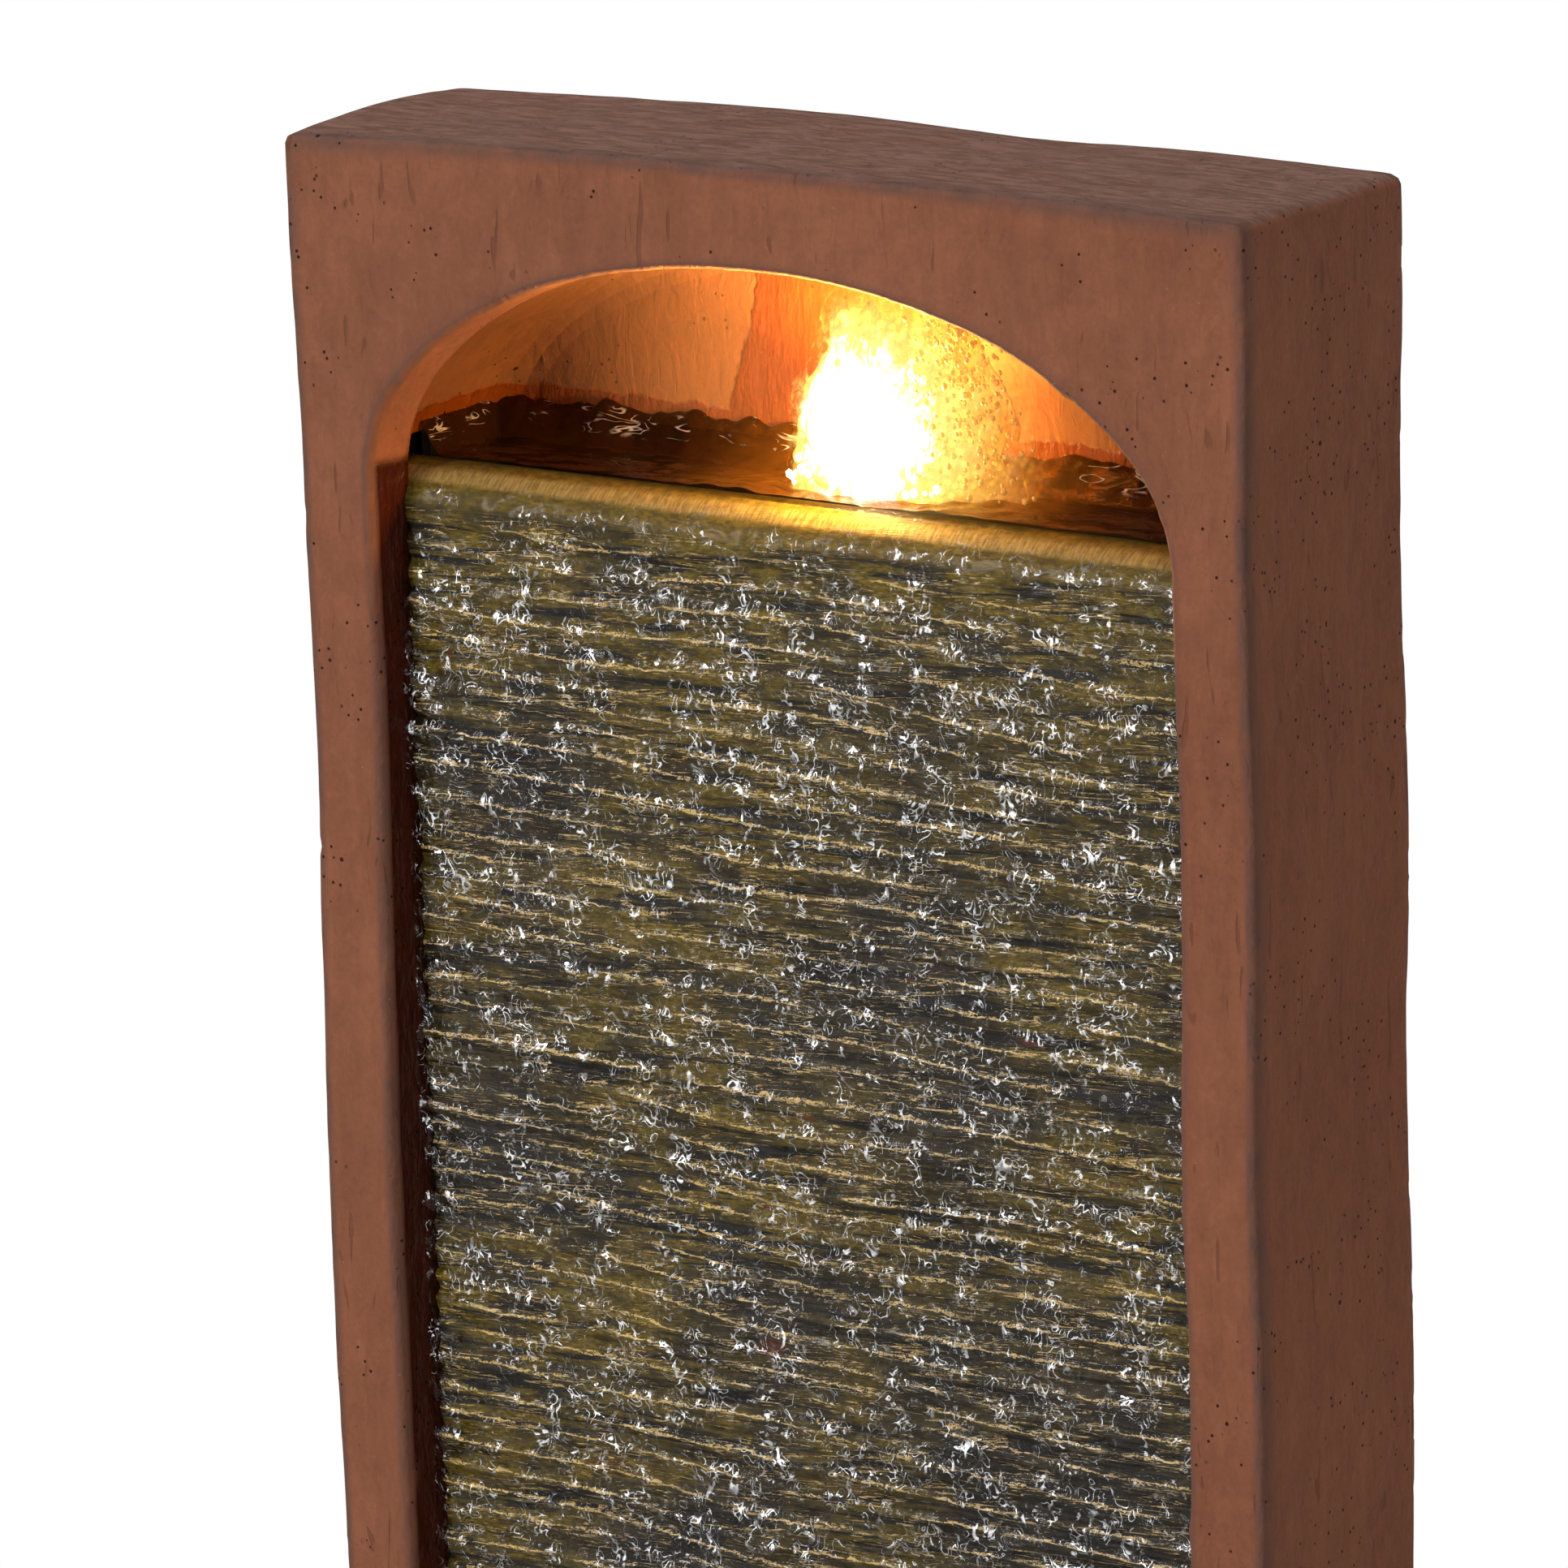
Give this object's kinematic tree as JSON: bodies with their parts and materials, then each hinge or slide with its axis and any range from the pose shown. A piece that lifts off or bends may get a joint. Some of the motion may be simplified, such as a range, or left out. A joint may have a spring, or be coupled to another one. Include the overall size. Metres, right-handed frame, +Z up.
{
  "type": "outdoor waterfall fountain",
  "caption": "Free-standing garden fountain: an arched cast frame with a lit spout over a layered cascade panel, a catch basin, a rear access door and a submersible pump.",
  "frame": {"origin": "on the ground, under the middle of the base, as the fountain stands on its feet", "axes": "+Z up, the arch and the cascade face -Y, +X is to the right as seen from the front"},
  "size_m": [0.46, 0.25, 1],
  "materials": {
    "cast_terracotta": "matte",
    "niche_cast": "matte",
    "cascade_slate": "satin",
    "trough_resin": "satin",
    "rubber": "matte",
    "stainless_steel": "satin",
    "black_plastic": "satin",
    "cover_plastic": "matte",
    "hose_vinyl": "satin",
    "lens_clear": "gloss",
    "light_board": "gloss",
    "shaft_ceramic": "gloss"
  },
  "bodies": {
    "root": {"base_basin": "cast_terracotta", "base_foot_1": "rubber", "base_foot_2": "rubber", "base_foot_3": "rubber", "base_foot_4": "rubber", "frame_shell": "cast_terracotta", "frame_bolt_1": "stainless_steel", "frame_bolt_2": "stainless_steel", "frame_bolt_3": "stainless_steel", "frame_bolt_4": "stainless_steel", "cascade_panel": "cascade_slate", "panel_clip_1": "stainless_steel", "panel_clip_2": "stainless_steel", "panel_clip_3": "stainless_steel", "panel_clip_4": "stainless_steel", "header_trough": "trough_resin", "trough_bracket_left": "stainless_steel", "trough_bracket_right": "stainless_steel", "niche_liner": "niche_cast", "inlet_fitting": "black_plastic", "inlet_gasket": "rubber", "inlet_nut": "black_plastic", "spout_nozzle": "stainless_steel", "light_housing": "stainless_steel", "light_board": "light_board", "light_lens": "lens_clear", "back_cover": "cover_plastic", "cover_screw_1": "stainless_steel", "cover_screw_2": "stainless_steel", "cover_screw_3": "stainless_steel", "cover_screw_4": "stainless_steel", "cable_grommet": "rubber", "hinge_fixed_leaf_1": "stainless_steel", "hinge_fixed_leaf_2": "stainless_steel", "hinge_pin_1": "stainless_steel", "hinge_pin_2": "stainless_steel", "magnet_catch": "black_plastic", "pump_body": "black_plastic", "impeller_shaft": "shaft_ceramic", "volute_plate": "black_plastic", "pump_strainer": "black_plastic", "pump_cup_1": "rubber", "pump_cup_2": "rubber", "pump_cup_3": "rubber", "pump_cup_4": "rubber", "riser_hose": "hose_vinyl", "hose_clamp_1": "stainless_steel", "hose_clamp_2": "stainless_steel", "hose_saddle_1": "black_plastic", "hose_saddle_2": "black_plastic"},
    "door": {"access_door": "cover_plastic", "hinge_door_leaf_1": "stainless_steel", "hinge_door_leaf_2": "stainless_steel", "door_knob": "black_plastic", "strike_plate": "stainless_steel"},
    "impeller_rotor": {"impeller": "black_plastic"},
    "dial": {"flow_dial": "black_plastic"},
    "drain": {"drain_plug": "rubber"}
  },
  "joints": [
    {"name": "door_hinge", "type": "hinge", "parent": "root", "child": "door", "pos_m": [-0.0905, 0.1133, 0.2453], "axis": [0, 0, 1], "range_deg": [0, 110]},
    {"name": "impeller_spin", "type": "hinge", "parent": "root", "child": "impeller_rotor", "pos_m": [-0.03, 0.0767, 0.0506], "axis": [1, 0, 0], "continuous": true},
    {"name": "flow_dial_turn", "type": "hinge", "parent": "root", "child": "dial", "pos_m": [-0.0568, 0.0767, 0.0506], "axis": [-1, 0, 0], "range_deg": [0, 90]},
    {"name": "drain_plug_pull", "type": "slide", "parent": "root", "child": "drain", "axis": [0, 1, 0], "range_m": [0, 0.02]}
  ]
}
